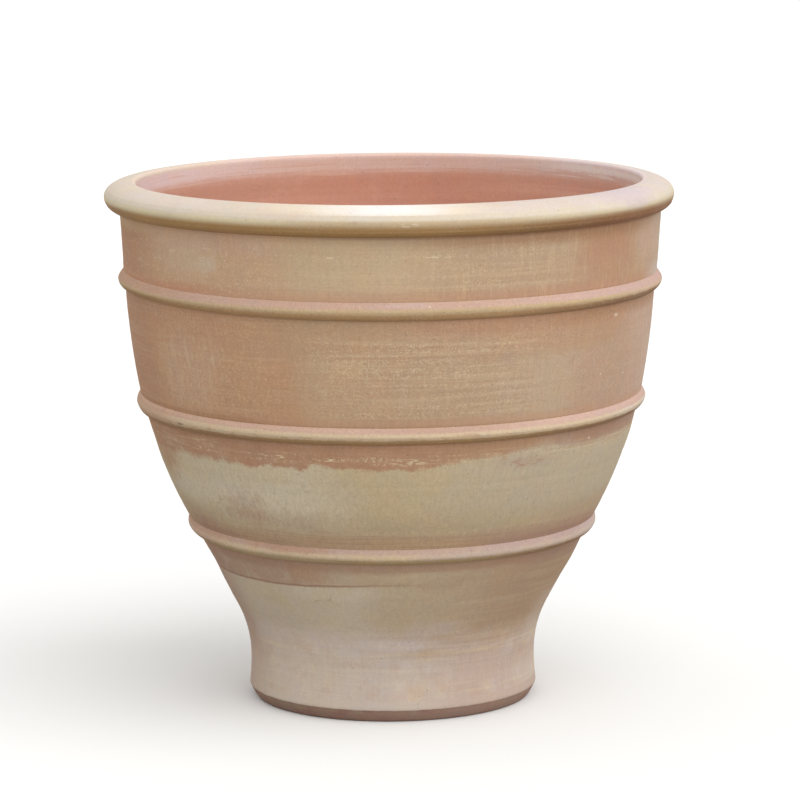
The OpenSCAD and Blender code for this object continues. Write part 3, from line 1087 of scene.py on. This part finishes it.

# Dusty pink under the lip, paler at the right where light is painted, and salmon clay further down
DUSTY_LIP = zone(711.5, 760, 6.5, 5)
INSIDE_COATS = [
    # Paler salmon towards the right: painted light on that side of the inside
    (SALMON_RIGHT, 1.0, side(0.1, 0.9)),
    (SALMON_LEFT, 0.9, side(-0.1, -0.6)),
    (SALMON_LOW, 0.8, zone(-10, 676, 12, 10)),
    (SALMON_DARK, 0.16, lines(300, 11, 0.45, 0.7), zone(0, 700, 10)),
    (BLUSH, 0.2, patches(30, 0.5, 0.7)),
    (BLUSH, 0.35, zone(703, 760, 9, 6)),
    (INSIDE_DUSTY, 0.8, DUSTY_LIP),
    (INSIDE_LEFT, 0.9, DUSTY_LIP, side(-0.4, -0.9)),
    (INSIDE_LEFT, 0.22, lines(200, 4, 0.45, 0.7), DUSTY_LIP),
    (INSIDE_DUSTY, 0.45, zone(704, 716, 4), lines(120, 3.4, 0.48, 0.66)),
    (SALMON, 0.35, zone(708, 726, 4), lines(100, 3.0, 0.54, 0.68)),
    (INSIDE_BLOOM, 0.95, zone(721, 732, 4, 8), side(0.5, 0.85)),
    (INSIDE_BLOOM, 0.45, zone(711, 728, 5, 14), side(0.4, 0.7), lines(70, 2.4, 0.52, 0.64)),
    (INSIDE_PALE, 0.35, zone(730, 760, 3, 3)),
    (INSIDE_PALE, 0.35, zone(718, 760, 5, 4), side(0.2, 0.5)),
    (RIM_SHADE, 0.65, zone(730, 760, 3.5, 2), side(-0.5, -0.85)),
    (ROSE_GREY, 0.65, zone(731.5, 760, 2, 2), side(0.5, 0.85)),
]

# Bare brown clay on the bevel and the underside, with painted contact shadow along the bottom
BEVEL = zone(-10, 17.4, 0.8, 3)
UNDERSIDE = up(-0.7, -0.95)
BASE_COATS = [
    # Paler at the left: partly bloom, partly painted light falling from the left
    (BUFF_LEFT, 0.9, side(-0.15, -0.5)),
    (BUFF_RIGHT, 1.0, side(0.05, 0.55)),
    (BUFF_EDGE, 0.8, side(-0.8, -1.0)),
    (BEVEL_BROWN, 1.0, BEVEL),
    (BEVEL_RED, 0.6, BEVEL, patches(24, 0.45, 0.65)),
    (BEVEL_KHAKI, 0.5, zone(11, 17.4, 2, 6), patches(18, 0.5, 0.6)),
    # Painted contact shadow along the bottom, where the pot stands on the floor
    (DARK_CLAY_AND_SHADE, 0.4, zone(-10, 2.5, 2, 3)),
    (BEVEL_KHAKI, 0.35, UNDERSIDE, patches(80, 0.45, 0.65)),
    (PINK_TAN, 0.35, UNDERSIDE, patches(6, 0.56, 0.66)),
    (DARK_CLAY_AND_SHADE, 0.4, UNDERSIDE, patches(9, 0.6, 0.7)),
]


# ---- The finishes ----


def band_finish(name, place, turns, nose, under, pinks, highlight_strength, dim, marks):
    """Pink clay on top of a band, worn to khaki cream on the nose, golden brown below; the golden brown is
    partly the clay and partly painted shade tinted by light bounced from the ground.

    The turns are where the underside ends and the top starts, in degrees up from the wall's own face.
    The number after the pinks is the strength of a painted highlight along the top edge, and dim says where
    the painted shade on the underside darkens towards the left.
    """
    end_left, nose_left, nose_right, end_right = nose
    pink, pink_right = pinks
    joint = place[1] / MM

    def turn(skin):
        """How many degrees the band's face turns up from the wall's own."""
        degrees = plus(times(maths("ARCSINE", skin.make(facing)), math.degrees(1)), math.degrees(place[2]))
        return plus(degrees, times(skin.ragged, 12.0))

    top = between(turn, turns[1] - 6, turns[1] + 6)
    # Where the painted highlight lies, along the top edge of the band
    edge = between(turn, 46, 50)
    # Where the band faces down, and where its painted shade lies
    low = between(turn, turns[0] + 5.5, turns[0] - 5.5)
    coats = [
        (nose_right, 0.9, side(0.0, 0.2)),
        (end_left, 0.75, side(-0.75, -0.92)),
        (end_right, 0.8, side(0.78, 0.94)),
        (pink, 1.0, top),
        (BAND_PINK_LEFT, 0.9, top, side(-0.6, -0.9)),
        (pink_right, 0.9, top, side(0.3, 0.7)),
        # Painted highlight along the top edge, stronger at the left
        (ROSE_PALE, highlight_strength, edge),
        (ROSE_PALE, 1.2 * highlight_strength, edge, side(-0.5, -0.8)),
        # Painted shade on the underside, darker at the right end and towards the left
        (under, 1.0, low),
        (BAND_UNDER_SHADE, 0.95, low, side(0.3, 0.85)),
        (BAND_UNDER_SHADE, 0.5, low, side(*dim)),
        (DARK_CLAY_AND_SHADE, 0.14, low, side(0.7, 0.92)),
        (SPECK, 0.3, speckle(2.2, 5, 60, 0.4)),
        (under, 0.13, patches(5, 0.56, 0.7)),
        (under, 0.4, zone(joint - 8, joint - 1, 2.5, 8), lines(16, 3, 0.56, 0.66, 1.0)),
    ]
    return Finish(name, nose_left, coats + marks).fire(0.9, 0.46, 0.08, 0.06)


FOOT_GRIT = between(height_of, 60, 140, 0.26, 0.36)
MIDDLE_GRIT = between(side_of, 0.2, 0.6, 0.42, 0.28)
COLLAR_GRIT = between(side_of, 0.3, 0.6, 0.33, 0.42)
foot = Finish("foot_buff", BUFF, FOOT_COATS).fire(0.92, FOOT_GRIT, 0.08, 0.16)
middle = Finish("middle_khaki", KHAKI, MIDDLE_COATS).fire(0.92, MIDDLE_GRIT, 0.06, 0.24)
upper = Finish("upper_tan", TAN, UPPER_COATS).fire(0.9, 0.36, 0.08, 0.17)
collar = Finish("collar_ochre", OCHRE, COLLAR_COATS).fire(0.9, COLLAR_GRIT, 0.06, 0.13)
rim = Finish("rim_cream", RIM_FRONT, RIM_COATS).fire(0.82, 0.3, 0.06, 0.06)
inside = Finish("inside_salmon", SALMON, INSIDE_COATS).fire(0.9, 0.36, 0.05, 0.08)
base = Finish("base_brown", BUFF, BASE_COATS).fire(0.94, 0.3, 0.06, 0.06)

# The bands: the colours of the nose from left to right and of the top, and the marks of each
LOWER_NOSE = (BLOOM_PINK, BAND_KHAKI, BUFF_RIGHT, BUFF_RIGHT)
LOWER_PINKS = (BAND_MAUVE, BAND_MAUVE_RIGHT)
LOWER_MARKS = [
    (ROSE_GREY, 0.2, side(0.86, 1.0)),
    (ORANGE_BROWN, 0.55, stain(-30, 257, 130, 12, 0.4, 2.0)),
    (KHAKI_LOW, 0.6, stain(-32, 242, 130, 9, 0.4, 2.0)),
]
MIDDLE_NOSE = (BAND_PINK_LEFT, BAND_KHAKI, BAND_KHAKI, BUFF_LEFT)
MIDDLE_MARKS = [
    (DARK_CLAY_AND_SHADE, 0.55, stain(-53.5, 423, 15, 3, 0.5, 2.5, 7)),
    (ORANGE_DARK, 0.5, stain(17, 426, 26, 6, 0.5, 3.0)),
    (PINK_BROWN, 0.35, stain(12, 434, 200, 8, 0.5, 1.0)),
]
UPPER_NOSE = (BAND_GOLD, BAND_GOLD, BAND_GOLD, BLOOM_GREY)
UPPER_MARKS = [
    (LAVENDER, 0.22, stain(4, 606, 54, 8, 0.6, 2.0)),
    (LIME, 0.9, stain(8, 604, 3.6, 3, 0.4, 0.4, 6)),
    (RED_BROWN, 0.6, stain(6, 606, 3, 2.2, 0.4, 0.4, 5)),
]
PINKS = (BAND_PINK, BAND_PINK_RIGHT)
DIM_END = (-0.75, -0.95)
lower_pink = band_finish(
    "lower_band_pink", LOWER, (-6.5, 39), LOWER_NOSE, KHAKI_BROWN, LOWER_PINKS, 0.1, DIM_END, LOWER_MARKS
)
middle_pink = band_finish(
    "middle_band_pink", MIDDLE, (-12.5, 43), MIDDLE_NOSE, GOLD_BROWN, PINKS, 0.2, (-0.25, -0.7), MIDDLE_MARKS
)
upper_pink = band_finish(
    "upper_band_pink", UPPER, (-11.5, 34), UPPER_NOSE, BAND_UNDER, PINKS, 0.1, DIM_END, UPPER_MARKS
)


# ---- The pot ----

# The base and the walls: node, name, outline, finish, slot, wobble, and the test for faces that look in
lower_wall = stage_outline(LOWER, MIDDLE, MIDDLE_BULGE)
upper_wall = stage_outline(MIDDLE, UPPER, UPPER_BULGE)
for *given, is_inside in (
    ("base_disc", "base_slab", base_outline(), base, "terracotta_foot", SLAB_WOBBLE, on_floor),
    ("foot_stage", "foot_wall", foot_outline(), foot, "terracotta_foot", WOBBLE, looks_in),
    ("middle_stage", "middle_wall", lower_wall, middle, "terracotta_body", WOBBLE, looks_in),
    ("upper_stage", "upper_wall", upper_wall, upper, "terracotta_body", WOBBLE, looks_in),
    ("collar_stage", "collar_wall", collar_outline(), collar, "terracotta_body", WOBBLE, looks_in),
    ("rim_roll", "rolled_rim", rim_outline(), rim, "terracotta_rim", WOBBLE, looks_in),
):
    paint_inside(dress(*given), inside, is_inside)

# Where hands pushed a band up: degrees to the right, rise of its underside, rise of its top, reach
LOWER_PRESSES = ((-76, 3.2, 1.0, 22), (75, 1.0, 0.3, 38), (-90, 0.0, 6.0, 34), (90, 0.0, 3.8, 34))
MIDDLE_PRESSES = ((85, 3.4, 1.0, 38), (-45, -1.4, -0.4, 30), (-90, 0.0, 4.5, 36), (90, 0.0, 3.8, 34))
UPPER_PRESSES = ((-72, 5.2, 1.0, 38), (-90, 0.0, 4.2, 33), (90, 0.0, -1.2, 34))
# The bands: node, place, lean of the wall above, how far it stands out, step at its top, finish, presses
for node, place, above, out, short, finish, presses in (
    ("lower_band", LOWER, 12, 8 * MM, 2.2 * MM, lower_pink, LOWER_PRESSES),
    ("middle_band", MIDDLE, 2, 9.2 * MM, 2.9 * MM, middle_pink, MIDDLE_PRESSES),
    ("upper_band", UPPER, 2, 9 * MM, 1.7 * MM, upper_pink, UPPER_PRESSES),
):
    coil = dress(node, node + "_coil", band_outline(place, out, short), finish, "terracotta_band")
    for press in presses:
        each_point(coil, squeeze(place, math.radians(above), *press))


# ---- Floor, light and camera ----

FLOOR_SEEN = (0.80, 0.80, 0.79, 1.0)
FLOOR_BOUNCE = (0.34, 0.31, 0.27, 1.0)
FLOOR_SIZE = 90
FLOOR_MIDDLE = (0, 15, 0)
SKY_WHITE = (1.0, 1.0, 1.0, 1.0)
LAMP_PLACE = (3, -3, 4)
LAMP_FROM = Vector((0.60, -0.70, 0.85))
LAMP_POWER = 1.9
LAMP_WIDTH = math.radians(80)
EYE = (0, -5.760, 1.325)
SENSOR = 36
LENS = 4120 / 800 * SENSOR
VIEW_END = 200
TURN_LEFT, LOOK_DOWN, ROLL = math.radians(-0.1335), math.radians(8.89), math.radians(-0.46)


def lay_floor():
    """A plain pale floor that throws back only as much light as dry ground does."""
    floor = lay_plane("studio_floor", FLOOR_SIZE, FLOOR_MIDDLE)
    material = bpy.data.materials.new("pale_floor")
    material.use_nodes = True
    rays = add_node(material.node_tree, "LightPath", {}).outputs
    seen = plus(rays["Is Camera Ray"], rays["Is Glossy Ray"], clamp=True)
    seen = plus(seen, rays["Is Transmission Ray"], clamp=True)
    shader = material.node_tree.nodes["Principled BSDF"].inputs
    feed(shader["Base Color"], mix_colour(seen, FLOOR_BOUNCE, FLOOR_SEEN))
    feed(shader["Roughness"], 1.0)
    feed(shader["Specular IOR Level"], 0.0)
    floor.data.materials.append(material)


def hang_lights():
    """A soft even sky, and one wide lamp high at the right of the front."""
    world = bpy.data.worlds.new("soft_sky")
    bpy.context.scene.world = world
    world.use_nodes = True
    sky = world.node_tree.nodes["Background"].inputs
    feed(sky["Color"], SKY_WHITE)
    feed(sky["Strength"], 1.0)
    select_none()
    bpy.ops.object.light_add(type="SUN", location=LAMP_PLACE)
    lamp = bpy.context.object
    lamp.name = "wide_lamp"
    lamp.data.energy = LAMP_POWER
    lamp.data.angle = LAMP_WIDTH
    lamp.rotation_euler = LAMP_FROM.to_track_quat("Z", "Y").to_euler()


def set_camera():
    """Eye level, looking down at the pot from some way off with a long lens."""
    select_none()
    bpy.ops.object.camera_add(location=EYE)
    camera = bpy.context.object
    camera.name = "front_camera"
    camera.data.sensor_width = SENSOR
    camera.data.lens = LENS
    camera.data.clip_end = VIEW_END
    turn = Matrix.Rotation(TURN_LEFT, 4, "Z")
    tilt = Matrix.Rotation(math.radians(90) - LOOK_DOWN, 4, "X")
    roll = Matrix.Rotation(ROLL, 4, "Z")
    camera.rotation_euler = (turn @ tilt @ roll).to_euler()
    bpy.context.scene.camera = camera


lay_floor()
hang_lights()
set_camera()
bpy.context.scene.view_settings.view_transform = "Standard"
